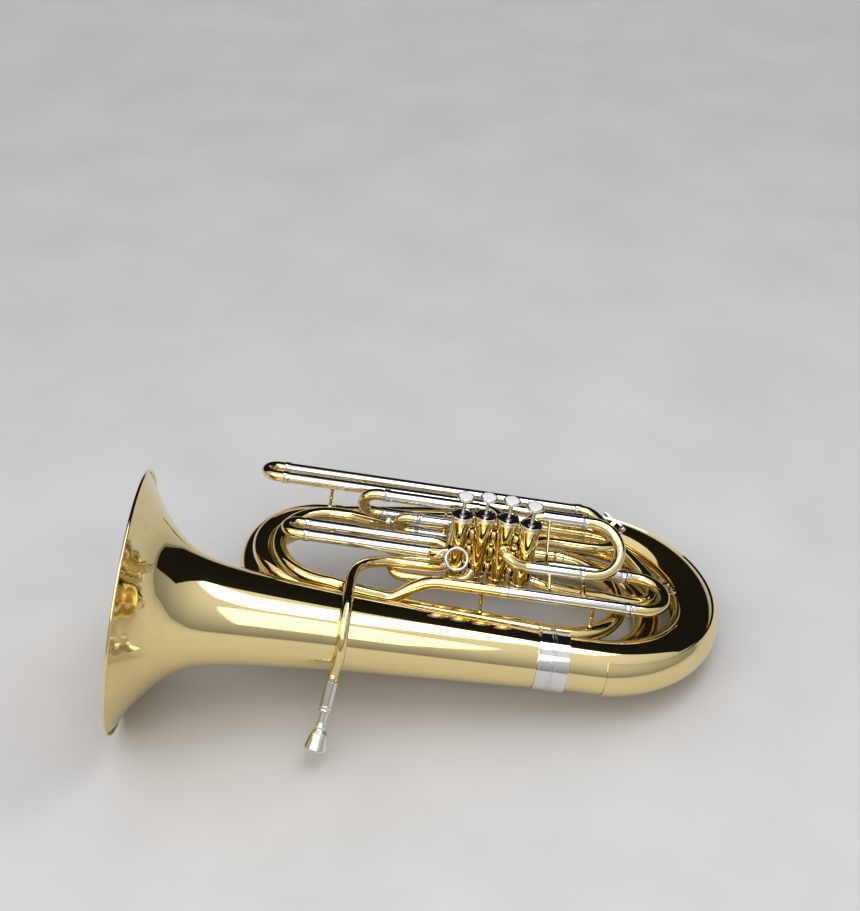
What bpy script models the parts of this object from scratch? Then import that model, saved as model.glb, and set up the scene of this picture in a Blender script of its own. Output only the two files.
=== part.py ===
"""A four-valve front-action tuba, lying on its back on a floor. Metres, +Z up.

Design frame: the bell's axis is X, with the rim at x = 0 and the bottom bow at large x. The valves point
up (+Z) and the tubing lies on the +Y side of the bell. The parent empty "rest_pose" tips that frame to
the attitude in which the horn lies still on its rim and its two lowest bows.
"""

import math

import bmesh
import bpy
from mathutils import Matrix, Vector

# Driving dimensions, in metres.
WALL = 0.0012  # sheet of the bell
GAP = 0.0003  # between touching pieces
RUNNING_FIT = 0.0002  # between a slide's inner leg and its outer tube
X_AXIS, Y_AXIS, Z_AXIS = Vector((1, 0, 0)), Vector((0, 1, 0)), Vector((0, 0, 1))

BELL_EDGE_R = 0.2005
RIM_WIRE_R = 0.0025
# Bell outline as (distance from the mouth, outer radius), mouth to throat.
BELL_OUTLINE = [
    (0.0, BELL_EDGE_R), (0.012, 0.180), (0.030, 0.152), (0.050, 0.127), (0.075, 0.104), (0.105, 0.088),
    (0.150, 0.0775), (0.220, 0.0690), (0.320, 0.0610), (0.450, 0.0540), (0.575, 0.0484), (0.628, 0.0453),
    (0.651, 0.0450),
]
THROAT_X, THROAT_R = BELL_OUTLINE[-1]
COLLAR_HALF = 0.0245

BOW_X = 0.717  # where the three bottom bows start to turn
BOW_R = 0.178  # bend radius of the bottom bow
BOW_TUBE = (0.0432, 0.0360)
TOP_X = 0.287  # where the first top bow starts to turn

VALVE_X0, VALVE_PITCH = 0.489, 0.0367
VALVE_Y = (0.151, 0.158, 0.158, 0.151)
CASING_R, CASING_BORE = 0.0158, 0.0138
CASING_Z = (0.026, 0.138)
CAP_R, CAP_HEIGHT = 0.0174, 0.0078
STEM_R = 0.0032
PISTON_R = CASING_BORE - 2 * RUNNING_FIT
PISTON_Z = (0.066, 0.126)
STEM_TOP = 0.1745
BUTTON_R, PEARL_R = 0.0138, 0.0118

SLIDE_R = 0.0094  # outer tube of a valve slide
FERRULE, FERRULE_LENGTH = 0.0012, 0.012
# The two slides that carry a water key: (y, z) of the near and far legs, and where the crook starts to turn.
MAIN_LEGS, MAIN_BEND_X, MAIN_R = ((0.084, 0.056), (0.170, 0.056)), 0.788, 0.0098
THIRD_LEGS, THIRD_BEND_X = ((0.124, 0.081), (0.200, 0.130)), 0.705
TUBE_SIDES = 10
VALVE_SIDES = 12
BOW_STEPS = 8

# Lying still on the rim and the second bottom bow: turned about X, then about Y.
REST_ROLL, REST_PITCH = math.radians(-3.873), math.radians(8.414)

BRASS = ("lacquered_brass", (0.83, 0.60, 0.22), 1.0, 0.12)
NICKEL = ("nickel_silver", (0.72, 0.71, 0.68), 1.0, 0.14)
SILVER = ("silver_plate", (0.88, 0.87, 0.84), 1.0, 0.10)
STEEL = ("spring_steel", (0.42, 0.42, 0.43), 1.0, 0.30)
MONEL = ("monel", (0.55, 0.54, 0.52), 1.0, 0.22)
PEARL = ("pearl", (0.92, 0.91, 0.88), 0.0, 0.18)


# ---------------------------------------------------------------- scene and materials
def clear_scene():
    for thing in list(bpy.data.objects):
        bpy.data.objects.remove(thing, do_unlink=True)


def material(spec):
    name, colour, metallic, roughness = spec
    if name in bpy.data.materials:
        return bpy.data.materials[name]
    made = bpy.data.materials.new(name)
    made.use_nodes = True
    shader = made.node_tree.nodes["Principled BSDF"]
    shader.inputs["Base Color"].default_value = (*colour, 1)
    shader.inputs["Metallic"].default_value = metallic
    shader.inputs["Roughness"].default_value = roughness
    return made


def place(name, mesh, spec, parent, origin=(0, 0, 0)):
    """An object whose mesh is given in the design frame, with its origin moved to a point of interest."""
    mesh.transform(Matrix.Translation(-Vector(origin)))
    mesh.materials.append(material(spec))
    mesh.shade_smooth()
    mesh.set_sharp_from_angle(angle=math.radians(40))
    thing = bpy.data.objects.new(name, mesh)
    thing.location = origin
    thing.parent = parent
    bpy.context.scene.collection.objects.link(thing)
    return thing


def combine(operation, target, others):
    """Boolean modifiers that keep the others as hidden helpers."""
    for other in others:
        other.hide_render = True
        other.display_type = "WIRE"
        modifier = target.modifiers.new(operation.title(), "BOOLEAN")
        modifier.operation = operation
        modifier.solver = "EXACT"
        modifier.object = other
    return target


# ---------------------------------------------------------------- paths
def half_turn(start, end, bulge):
    """A half circle from start to end that bulges along the unit vector bulge.

    Its corners lie just outside the circle, so that its sides touch it and both ends leave square.
    """
    start, end = Vector(start), Vector(end)
    centre, arm = (start + end) / 2, (start - end) / 2
    step = math.pi / BOW_STEPS
    reach = 1 / math.cos(step / 2)
    turn = [(i + 0.5) * step for i in range(BOW_STEPS)]
    corners = [centre + reach * (arm * math.cos(a) + Vector(bulge) * arm.length * math.sin(a)) for a in turn]
    return [start] + corners + [end]


def smooth(points, steps=4):
    """A Catmull-Rom curve through the points."""
    points = [Vector(p) for p in points]
    ends = [2 * points[0] - points[1]] + points + [2 * points[-1] - points[-2]]
    route = []
    for i in range(len(points) - 1):
        a, b, c, d = ends[i : i + 4]
        for step in range(steps):
            t = step / steps
            route.append(
                0.5 * (2 * b + (c - a) * t + (2 * a - 5 * b + 4 * c - d) * t**2 + (3 * b - a - 3 * c + d) * t**3)
            )
    return route + [points[-1]]


def lengths(path):
    run = [0.0]
    for a, b in zip(path, path[1:]):
        run.append(run[-1] + (b - a).length)
    return run


def at_length(path, run, s):
    for i in range(len(path) - 1):
        if s <= run[i + 1] or i == len(path) - 2:
            return path[i].lerp(path[i + 1], (s - run[i]) / (run[i + 1] - run[i]))


def interpolate(stations, s):
    for (s0, r0), (s1, r1) in zip(stations, stations[1:]):
        if s <= s1:
            return r0 + (r1 - r0) * (s - s0) / (s1 - s0)
    return stations[-1][1]


def frames(points, side):
    """Unit vectors across the path at each point, carried along without twist from the vector side."""
    found = []
    for i, point in enumerate(points):
        ahead = points[min(i + 1, len(points) - 1)] - point
        behind = point - points[max(i - 1, 0)]
        along = (ahead.normalized() + behind.normalized()).normalized()
        side = (side - along * side.dot(along)).normalized()
        found.append((side.copy(), along.cross(side)))
    return found


# ---------------------------------------------------------------- solids
def loft(rings, closed_loop=False):
    """Skins a list of rings of equal count. The ends are capped, or joined when the loft is a loop."""
    mesh = bmesh.new()
    made = [[mesh.verts.new(p) for p in ring] for ring in rings]
    count = len(made[0])
    pairs = list(zip(made, made[1:])) + ([(made[-1], made[0])] if closed_loop else [])
    for a, b in pairs:
        for i in range(count):
            j = (i + 1) % count
            mesh.faces.new((a[i], a[j], b[j], b[i]))
    if not closed_loop:
        mesh.faces.new(made[0][::-1])
        mesh.faces.new(made[-1])
    bmesh.ops.recalc_face_normals(mesh, faces=mesh.faces)
    data = bpy.data.meshes.new("solid")
    mesh.to_mesh(data)
    mesh.free()
    return data


def tube_mesh(path, stations, side=Z_AXIS, sides=TUBE_SIDES, bore=None):
    """A round tube along the path. Stations are (length, radius), a negative length counting from the end.

    A bore is the pair of radii inside its two open ends, and without one the tube is solid.
    """
    path = [Vector(p) for p in path]
    run = lengths(path)
    total = run[-1]
    stations = [(s if s >= 0 else total + s, r) for s, r in stations] + [(total, stations[-1][1])]
    cuts = sorted({round(s, 6) for s in run + [s for s, _ in stations]})
    cuts = [s for i, s in enumerate(cuts) if i == 0 or s - cuts[i - 1] > 1e-4]
    points = [at_length(path, run, s) for s in cuts]
    across = frames(points, Vector(side))

    def ring(i, radius):
        u, v = across[i]
        turn = [2 * math.pi * k / sides for k in range(sides)]
        return [points[i] + radius * (math.cos(a) * u + math.sin(a) * v) for a in turn]

    outer = [ring(i, interpolate(stations, s)) for i, s in enumerate(cuts)]
    if bore is None:
        return loft(outer)
    corners = [i for i, s in enumerate(cuts) if min(abs(s - r) for r in run) < 1e-5]
    inner = [ring(i, bore[0] + (bore[1] - bore[0]) * cuts[i] / total) for i in corners]
    return loft(outer + inner[::-1], closed_loop=True)


def tapered(start, end, ferrules="both"):
    """Stations for a tube that tapers from one radius to the other, with a ferrule on the named ends."""
    step = 0.0005
    found = [(0.0, start), (-0.001, end)]
    if ferrules in ("both", "start"):
        found[:1] = [
            (0.0, start + FERRULE), (FERRULE_LENGTH, start + FERRULE), (FERRULE_LENGTH + step, start),
        ]
    if ferrules in ("both", "end"):
        found[-1:] = [(-FERRULE_LENGTH - step, end), (-FERRULE_LENGTH, end + FERRULE),
                      (-0.001, end + FERRULE)]
    return found


def turned_mesh(outline, centre, axis=Z_AXIS, side=X_AXIS, sides=VALVE_SIDES, ring_shape=False):
    """A solid turned about an axis from (height, radius) pairs. A ring_shape outline closes on itself."""
    axis = Vector(axis).normalized()
    u = (Vector(side) - axis * Vector(side).dot(axis)).normalized()
    v = axis.cross(u)
    turn = [2 * math.pi * k / sides for k in range(sides)]
    rings = [
        [Vector(centre) + h * axis + r * (math.cos(a) * u + math.sin(a) * v) for a in turn] for h,
        r in outline
    ]
    return loft(rings, closed_loop=ring_shape)


def box_mesh(centre, size, turn=None):
    """A box with its sides along the axes of the 3x3 matrix turn."""
    turn = turn or Matrix.Identity(3)
    mesh = bmesh.new()
    bmesh.ops.create_cube(mesh, size=1.0)
    bmesh.ops.transform(
        mesh, matrix=Matrix.Translation(centre) @ turn.to_4x4() @ Matrix.Diagonal((*size, 1)),
        verts=mesh.verts
    )
    data = bpy.data.meshes.new("box")
    mesh.to_mesh(data)
    mesh.free()
    return data


def rod_mesh(start, end, radius, sides=8):
    return tube_mesh([start, end], [(0.0, radius)], side=Y_AXIS + X_AXIS * 0.3, sides=sides)


def post_meshes(start, end, radius=0.0028):
    """A soldered stay: a rod with a wider foot at each end."""
    start, end = Vector(start), Vector(end)
    along = (end - start).normalized()
    foot = 0.0035
    return [
        rod_mesh(start, end, radius),
        rod_mesh(end - along * foot, end, radius * 1.8),
    ]


# ---------------------------------------------------------------- bell and bows
def bell_radius(x):
    return interpolate(BELL_OUTLINE, x)


def build_bell(parent):
    sides = 24
    outer = list(BELL_OUTLINE)
    inner = [(x, r - WALL * (1.6 if x < 0.05 else 1.0)) for x, r in outer]
    shell = turned_mesh(outer + inner[::-1], (0, 0, 0), X_AXIS, Y_AXIS, sides, ring_shape=True)
    place("bell", shell, BRASS, parent)
    ring_r = BELL_EDGE_R + GAP + RIM_WIRE_R
    wire = [
        (0.0015 + RIM_WIRE_R * math.sin(a), ring_r + RIM_WIRE_R * math.cos(a))
        for a in (2 * math.pi * k / 6 for k in range(6))
    ]
    place("bell_rim_wire", turned_mesh(wire, (0, 0, 0), X_AXIS, Y_AXIS, sides, True), BRASS, parent)
    bead, inside, outside = 0.0016, THROAT_R + 0.0010, THROAT_R + 0.0024
    half = COLLAR_HALF
    collar = [
        (-half, inside), (-half, outside + bead), (-half + 0.003, outside + bead),
        (-half + 0.0035, outside),
        (-0.003, outside), (-0.002, outside + bead), (0.002, outside + bead), (0.003, outside),
        (half, outside),
        (half, inside),
    ]
    place(
        "bell_collar", turned_mesh(collar, (THROAT_X, 0, 0), X_AXIS, Y_AXIS, sides, True), NICKEL, parent
    )


def build_body(parent):
    """The tapering main bore, from the bell's throat back to the main slide."""
    far = 2 * BOW_R
    bottom = [Vector((THROAT_X + GAP, 0, 0))] + half_turn((BOW_X, 0, 0), (BOW_X, far, 0), X_AXIS)
    inside = [radius - WALL for radius in BOW_TUBE]
    place("bottom_bow", tube_mesh(bottom, tapered(*BOW_TUBE, "end"), sides=16, bore=inside), BRASS, parent)
    place("bottom_bow_guard", guard_mesh(bottom[1:]), BRASS, parent)

    spans = [
        # name, path, start radius, end radius, ferrules
        ("outer_branch", [(BOW_X - GAP, far, 0), (0.690, far, 0), (0.600, 0.351, -0.001),
                          (0.330, 0.316, -0.016),
                          (0.306, 0.313, -0.018), (TOP_X + GAP, 0.313, -0.018)], 0.0355, 0.0300, "end"),
        ("first_top_bow", half_turn((TOP_X, 0.313, -0.018), (TOP_X, 0.090, -0.045), -X_AXIS),
         0.0295, 0.0270, "none"),
        ("second_bottom_bow", [Vector((TOP_X + GAP, 0.090, -0.045)), Vector((0.330, 0.090, -0.045)),
                               Vector((0.690, 0.077, -0.045))]
         + half_turn((0.712, 0.077, -0.045), (0.712, 0.315, -0.045), X_AXIS), 0.0265, 0.0220, "start"),
        ("second_top_bow", [Vector((0.712 - GAP, 0.315, -0.045))]
         + smooth([(0.70, 0.315, -0.045), (0.60, 0.311, -0.046), (0.46, 0.284, -0.042),
                   (0.41, 0.273, -0.024),
                   (0.36, 0.268, 0.000),
                   (0.292, 0.268, 0.0175)], 2)
         + half_turn((0.269, 0.268, 0.018), (0.269, 0.094, 0.008), -X_AXIS), 0.0215, 0.0152, "start"),
        ("third_bottom_bow", [Vector((0.269 + GAP, 0.094, 0.008)), Vector((0.284, 0.094, 0.008)),
                              Vector((0.330, 0.0915, 0.001)), Vector((0.45, 0.081, 0.000)),
                              Vector((0.650, 0.072, -0.003))]
         + half_turn((0.668, 0.072, -0.003), (0.668, 0.280, -0.003), X_AXIS), 0.0150, 0.0138, "start"),
        ("third_top_bow", [Vector((0.668 - GAP, 0.280, -0.003))]
         + smooth([(0.65, 0.280, -0.003), (0.56, 0.280, -0.002), (0.46, 0.270, 0.012), (0.37, 0.252, 0.034),
                   (0.315, 0.2455, 0.0445)], 2)
         + half_turn((0.296, 0.245, 0.045), (0.296, 0.0705, 0.037), -X_AXIS)
         + smooth([(0.335, 0.071, 0.029), (0.369, 0.072, 0.024), (0.398, 0.074, 0.0225),
                   (0.429, 0.080, 0.043),
                   (0.455, 0.083, 0.0545), (0.490, 0.084, 0.056), (0.560, 0.084, 0.056)], 2)
         + [Vector((0.577 - GAP, 0.084, 0.056))], 0.0132, 0.0098, "start"),
    ]
    made = {}
    for name, path, start, end, ferrules in spans:
        inside = (start - WALL, end - WALL)
        made[name] = place(name, tube_mesh(path, tapered(start, end, ferrules), bore=inside), BRASS, parent)
    return made


def guard_mesh(path):
    """The strip that covers the outside of the bottom bow."""
    spread = math.radians(48)
    steps = 8
    run = lengths(path)
    start, end = BOW_TUBE
    centre = Vector((BOW_X, BOW_R, 0))
    rings = []
    for point, s in list(zip(path, run))[1:-1]:
        radius = start + (end - start) * s / run[-1]
        out = (point - centre).normalized()
        turn = [spread * (2 * k / steps - 1) for k in range(steps + 1)]
        skin = [(radius + 0.0020, a) for a in turn] + [(radius + 0.0009, a) for a in turn[::-1]]
        rings.append([point + r * (math.cos(a) * out + math.sin(a) * Z_AXIS) for r, a in skin])
    return loft(rings)


# ---------------------------------------------------------------- valves
def valve_centre(index):
    return Vector((VALVE_X0 + index * VALVE_PITCH, VALVE_Y[index], 0))


def helix(centre, radius, bottom, top, turns, per_turn=6):
    count = turns * per_turn
    return [
        centre
        + Vector((radius * math.cos(2 * math.pi * i / per_turn),
                  radius * math.sin(2 * math.pi * i / per_turn),
                  bottom + (top - bottom) * i / count))
        for i in range(count + 1)
    ]


def build_valve(index, parent):
    centre = valve_centre(index)
    number = index + 1
    low, high = CASING_Z
    band = 0.0007
    wall = [
        (low, CASING_BORE), (low, CASING_R + band), (low + 0.008, CASING_R + band),
        (low + 0.0085, CASING_R),
        (high - 0.0085, CASING_R), (high - 0.008, CASING_R + band), (high, CASING_R + band),
        (high, CASING_BORE),
    ]
    casing = place(f"valve_{number}_casing", turned_mesh(wall, centre, ring_shape=True), BRASS, parent)
    if index < 3:
        ahead = valve_centre(index + 1) - centre
        gap = ahead.normalized()
        helpers = []
        for height in (0.048, 0.079, 0.110):
            start = centre + gap * (CASING_R - 0.0010) + Z_AXIS * height
            end = centre + ahead - gap * (CASING_R + 2 * GAP) + Z_AXIS * height
            helpers.append(place(f"helper_knuckle_{number}_{height}", rod_mesh(start, end, 0.0085),
                                 BRASS, parent))
        combine("UNION", casing, helpers)

    hole = STEM_R + 0.0010
    top = high + GAP
    cap = [
        (top, hole), (top, CAP_R - 0.0006), (top + 0.0012, CAP_R), (top + CAP_HEIGHT - 0.0012, CAP_R),
        (top + CAP_HEIGHT, CAP_R - 0.0010), (top + CAP_HEIGHT, 0.0075), (top + CAP_HEIGHT + 0.0016, 0.0068),
        (top + CAP_HEIGHT + 0.0016, hole),
    ]
    place(f"valve_{number}_top_cap", turned_mesh(cap, centre, ring_shape=True), NICKEL, parent)
    foot = low - GAP
    base = [
        (foot, CAP_R - 0.0008), (foot - 0.009, CAP_R - 0.0008), (foot - 0.012, CAP_R - 0.004),
        (foot - 0.014, 0.004),
    ]
    place(f"valve_{number}_bottom_cap", turned_mesh(base[::-1], centre), NICKEL, parent)

    seat, crown = PISTON_Z
    piston = [
        (seat, PISTON_R - 0.0006), (seat + 0.001, PISTON_R), (crown - 0.001, PISTON_R),
        (crown, PISTON_R - 0.001),
        (crown + 0.004, 0.0060), (crown + 0.005, STEM_R), (STEM_TOP, STEM_R),
    ]
    moving = place(f"valve_{number}_piston", turned_mesh(piston, centre), MONEL, parent, origin=centre)
    ports = [
        place(f"helper_port_{number}_{k}", rod_mesh(centre - Y_AXIS * 0.03 + Z_AXIS * h,
                                                    centre + Y_AXIS * 0.03 + Z_AXIS * h, 0.0078),
                                                    MONEL, parent)
        for k, h in enumerate((seat + 0.018, crown - 0.020))
    ]
    combine("DIFFERENCE", moving, ports)
    under = STEM_TOP + GAP
    button = [
        (under, 0.0045), (under + 0.0012, BUTTON_R - 0.002), (under + 0.0024, BUTTON_R),
        (under + 0.0044, BUTTON_R),
        (under + 0.0050, BUTTON_R - 0.0008), (under + 0.0050, PEARL_R + GAP),
        (under + 0.0030, PEARL_R + GAP),
    ]
    place(f"valve_{number}_finger_button", turned_mesh(button, centre), NICKEL, parent, origin=centre)
    pearl = [
        (under + 0.0030 + GAP, PEARL_R), (under + 0.0050, PEARL_R), (under + 0.0058, PEARL_R - 0.002),
        (under + 0.0062, 0.004),
    ]
    place(f"valve_{number}_pearl", turned_mesh(pearl, centre), PEARL, parent, origin=centre)
    coil = helix(centre, 0.0100, low + 0.003, seat - 0.0018, 5)
    place(f"valve_{number}_spring", tube_mesh(coil, [(0.0, 0.0009)], sides=4), STEEL, parent)


# ---------------------------------------------------------------- slides
def sleeve_mesh(y, z, tail, mouth, radius, bore, side):
    """An outer slide tube along X, open at both ends, with a ferrule at the mouth where the crook
    enters."""
    band = 0.010 * (1 if mouth < tail else -1)
    edge = 0.0004 * (1 if mouth < tail else -1)
    outline = [
        (mouth, bore), (mouth, radius + FERRULE), (mouth + band, radius + FERRULE),
        (mouth + band + edge, radius),
        (tail, radius), (tail, bore),
    ]
    return turned_mesh(outline, (0, y, z), X_AXIS, side, TUBE_SIDES, ring_shape=True)


def build_slide(name, near, far, tails, mouth, bend_x, parent, radius=SLIDE_R, insert=0.055, stay=0.0,
                elbows=()):
    """A pair of outer tubes with a stay between them, and the U-shaped crook that slides in them.

    near and far are the (y, z) of the two legs. tails are the x of the outer tubes' valve ends, mouth is
    the x
    where the crook enters, and bend_x is where the crook starts to turn. Elbows lead on to a valve.
    """
    bore = radius - 0.0012
    outward = X_AXIS if bend_x > mouth else -X_AXIS
    across = Vector((0, far[0] - near[0], far[1] - near[1])).normalized()
    normal = X_AXIS.cross(across)
    first = place(name + "_tubes", sleeve_mesh(*near, tails[0], mouth, radius, bore, normal),
                  NICKEL, parent)
    second = place("helper_" + name, sleeve_mesh(*far, tails[1], mouth, radius, bore, normal),
                   NICKEL, parent)
    a, b = Vector((stay, *near)) + across * radius * 0.9, Vector((stay, *far)) - across * radius * 0.9
    helpers = [second, place(f"helper_{name}_stay", rod_mesh(a, b, 0.0026), NICKEL, parent)]
    for number, elbow in enumerate(elbows):
        bend = tube_mesh(smooth(elbow, 2), [(0.0, radius - 0.0006)], side=normal)
        helpers.append(place(f"helper_{name}_elbow_{number}", bend, BRASS, parent))
    combine("UNION", first, helpers)

    leg = bore - RUNNING_FIT
    inner = mouth - outward.x * insert
    start = mouth + outward.x * 2 * GAP
    bend_start, bend_end = Vector((bend_x, *near)), Vector((bend_x, *far))
    path = [Vector((inner, *near))] + half_turn(bend_start, bend_end, outward) + [Vector((inner, *far))]
    reach = abs(start - inner)
    step = 0.0004
    stations = [
        (0.0, leg), (reach, leg), (reach + step, radius + FERRULE), (reach + 0.008, radius + FERRULE),
        (reach + 0.0084, radius), (-reach - 0.0084, radius), (-reach - 0.008, radius + FERRULE),
        (-reach - step, radius + FERRULE), (-reach, leg), (-0.0005, leg),
    ]
    if abs(bend_x - start) < 0.009:
        stations = [(0.0, leg), (reach, leg), (reach + step, radius), (-reach - step, radius),
                    (-reach, leg),
                    (-0.0005, leg)]
    crook = place(name + "_crook", tube_mesh(path, stations, side=normal), BRASS, parent,
                  origin=(bend_start + bend_end) / 2)
    return first, crook


def build_slides(parent):
    made = {}
    made["main"] = build_slide(
        "main_slide", *MAIN_LEGS, (0.577, 0.650), 0.770, MAIN_BEND_X, parent, radius=MAIN_R,
        insert=0.090, stay=0.700,
        elbows=[[(0.655, *MAIN_LEGS[1]), (0.634, 0.168, 0.056), (0.6140, 0.1588, 0.056)]],
    )
    made["first"] = build_slide(
        "first_slide", (0.132, 0.077), (0.172, 0.070), (0.444, 0.452), 0.245, 0.238, parent, insert=0.085,
        stay=0.290,
        elbows=[[(0.440, 0.132, 0.077), (0.458, 0.134, 0.077), (0.4740, 0.1385, 0.077)],
                [(0.448, 0.172, 0.070), (0.463, 0.171, 0.070), (0.4775, 0.1625, 0.070)]],
    )
    made["second"] = build_slide(
        "second_slide", (0.206, 0.061), (0.200, 0.090), (0.492, 0.492), 0.424, 0.408, parent, radius=0.0080,
        insert=0.040, stay=0.470,
        elbows=[[(0.488, 0.206, 0.061), (0.508, 0.203, 0.061), (0.522, 0.190, 0.061),
                 (0.5257, 0.1747, 0.061)],
                [(0.488, 0.200, 0.090), (0.508, 0.198, 0.090), (0.522, 0.187, 0.090),
                 (0.5257, 0.1747, 0.090)]],
    )
    grip = [
        (0.0, 0.0030), (0.006, 0.0030), (0.007, 0.0085), (0.0085, 0.0100), (0.0135, 0.0100),
        (0.015, 0.0085),
        (0.0152, 0.0040),
    ]
    knob = turned_mesh(grip, (0.3885, 0.203, 0.0755), -X_AXIS, Y_AXIS)
    combine("UNION", made["second"][1], [place("helper_knob", knob, NICKEL, parent)])
    made["third_upper"] = build_slide(
        "third_upper_slide", (0.235, 0.068), (0.225, 0.110), (0.520, 0.520),
        0.364, 0.355, parent, insert=0.075,
        stay=0.470,
        elbows=[[(0.515, 0.235, 0.068), (0.540, 0.232, 0.068), (0.557, 0.212, 0.068),
                 (0.5623, 0.1747, 0.068)],
                [(0.515, 0.225, 0.110), (0.540, 0.222, 0.110), (0.557, 0.205, 0.109),
                 (0.5623, 0.1747, 0.108)]],
    )
    made["third_lower"] = build_slide(
        "third_lower_slide", *THIRD_LEGS, (0.605, 0.622), 0.696, THIRD_BEND_X, parent, insert=0.055,
        stay=0.633,
        elbows=[[(0.610, *THIRD_LEGS[0]), (0.598, 0.124, 0.081), (0.583, 0.1225, 0.085),
                 (0.569, 0.1285, 0.092),
                 (0.5645, 0.1405, 0.094)],
                [(0.626, *THIRD_LEGS[1]), (0.611, 0.199, 0.127), (0.601, 0.192, 0.118),
                 (0.599, 0.180, 0.114),
                 (0.599, 0.1685, 0.114)]],
    )
    made["fourth"] = build_slide(
        "fourth_slide", (0.312, 0.060), (0.352, 0.052), (0.694, 0.694), 0.195, 0.187, parent, insert=0.140,
        stay=0.330,
    )
    return made


def build_valve_tubing(parent):
    """The fixed tubes between the slides and the valve casings."""
    runs = [
        ("fourth_loop", [(0.694 + GAP, 0.352, 0.052), (0.704, 0.352, 0.052), (0.724, 0.347, 0.051),
                         (0.744, 0.325, 0.047),
                         (0.768, 0.288, 0.034), (0.801, 0.246, 0.028), (0.822, 0.205, 0.025),
                         (0.816, 0.160, 0.026),
                         (0.785, 0.136, 0.031), (0.740, 0.132, 0.036), (0.650, 0.132, 0.043),
                         (0.6150, 0.1385, 0.046)], 0.0100),
        ("fourth_return", [(0.694 + GAP, 0.312, 0.060), (0.704, 0.312, 0.060), (0.728, 0.308, 0.060),
                           (0.748, 0.297, 0.060),
                           (0.760, 0.271, 0.060), (0.750, 0.244, 0.060), (0.722, 0.231, 0.060),
                           (0.655, 0.230, 0.060), (0.625, 0.222, 0.064), (0.605, 0.200, 0.072),
                           (0.599, 0.1680, 0.074)], 0.0092),
        ("first_valve_loop", [(0.4716, 0.158, 0.043), (0.462, 0.156, 0.043), (0.430, 0.153, 0.043),
                              (0.411, 0.151, 0.042),
                              (0.396, 0.146, 0.040), (0.3900, 0.135, 0.037), (0.397, 0.123, 0.034),
                              (0.413, 0.118, 0.033), (0.450, 0.118, 0.033), (0.488, 0.119, 0.034),
                              (0.509, 0.127, 0.038), (0.5190, 0.1404, 0.043)], 0.0078),
    ]
    made = {}
    for name, points, radius in runs:
        path = [Vector(points[0])] + smooth(points[1:], 2)
        ends = "none" if name == "first_valve_loop" else "start"
        made[name] = place(name, tube_mesh(path, tapered(radius, radius, ends)), BRASS, parent)
    return made


# ---------------------------------------------------------------- leadpipe and mouthpiece
RECEIVER_END = Vector((0.318, -0.096, -0.080))
RECEIVER_AXIS = Vector((-0.10, -0.45, -0.89)).normalized()  # out of the receiver, towards the player
RECEIVER_LENGTH = 0.048
MOUTHPIECE_DEPTH = 0.026
MOUTHPIECE_LENGTH = 0.086
LEADPIPE_X = 0.328  # where it crosses the bell


def around_bell(degrees):
    """A point of the leadpipe's wrap, at an angle from +Y towards +Z round the bell."""
    reach = bell_radius(LEADPIPE_X) + 0.0115
    angle = math.radians(degrees)
    return LEADPIPE_X, reach * math.cos(angle), reach * math.sin(angle)


def build_leadpipe(parent):
    start = RECEIVER_END - RECEIVER_AXIS * (RECEIVER_LENGTH + GAP)
    route = [
        (0.4785, 0.1385, 0.052), (0.462, 0.130, 0.052), (0.420, 0.127, 0.052), (0.378, 0.122, 0.054),
        (0.345, 0.098, 0.060), (0.331, 0.062, 0.067), around_bell(76), around_bell(100), around_bell(125),
        around_bell(150), around_bell(175), start - RECEIVER_AXIS * 0.014,
        start - RECEIVER_AXIS * 0.004, start,
    ]
    pipe = tube_mesh(smooth(route, 2), tapered(0.0095, 0.0075, "start"))
    place("leadpipe", pipe, BRASS, parent)
    sleeve = [
        (-RECEIVER_LENGTH, 0.0064), (-RECEIVER_LENGTH, 0.0092), (-0.008, 0.0092), (-0.0075, 0.0104),
        (0.0, 0.0104),
        (0.0, 0.0064),
    ]
    place(
        "mouthpiece_receiver",
        turned_mesh(sleeve, RECEIVER_END, RECEIVER_AXIS, X_AXIS, 12, ring_shape=True), NICKEL, parent,
    )
    out = MOUTHPIECE_LENGTH - MOUTHPIECE_DEPTH
    cup = [
        (-MOUTHPIECE_DEPTH, 0.0042), (-MOUTHPIECE_DEPTH, 0.0060), (0.0, 0.0062), (0.018, 0.0070),
        (0.024, 0.0085), (0.027, 0.0075), (out - 0.026, 0.0120), (out - 0.012, 0.0165),
        (out - 0.004, 0.0182),
        (out, 0.0180), (out, 0.0165), (out - 0.010, 0.0150), (out - 0.022, 0.0095), (out - 0.030, 0.0042),
    ]
    place(
        "mouthpiece",
        turned_mesh(cup, RECEIVER_END, RECEIVER_AXIS, X_AXIS, 16, ring_shape=True), SILVER, parent,
        origin=RECEIVER_END,
    )


# ---------------------------------------------------------------- small fittings
def local_frame(point, along, out):
    """A 3x3 matrix whose columns are along, across and out."""
    along, out = Vector(along).normalized(), Vector(out).normalized()
    return Matrix((along, out.cross(along), out)).transposed()


KEY_ARM = 0.017
KEY_HEIGHT = 0.0085


def key_seat(bend_x, near, far, angle, radius):
    """The point on the outside of a crook at an angle from its near leg, with the local frame there."""
    arm = (Vector((bend_x, *near)) - Vector((bend_x, *far))) / 2
    middle = (Vector((bend_x, *near)) + Vector((bend_x, *far))) / 2
    out = (arm.normalized() * math.cos(angle) + X_AXIS * math.sin(angle)).normalized()
    along = (-arm.normalized() * math.sin(angle) + X_AXIS * math.cos(angle)).normalized()
    return middle + out * (arm.length + radius), local_frame(middle, along, out)


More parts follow.
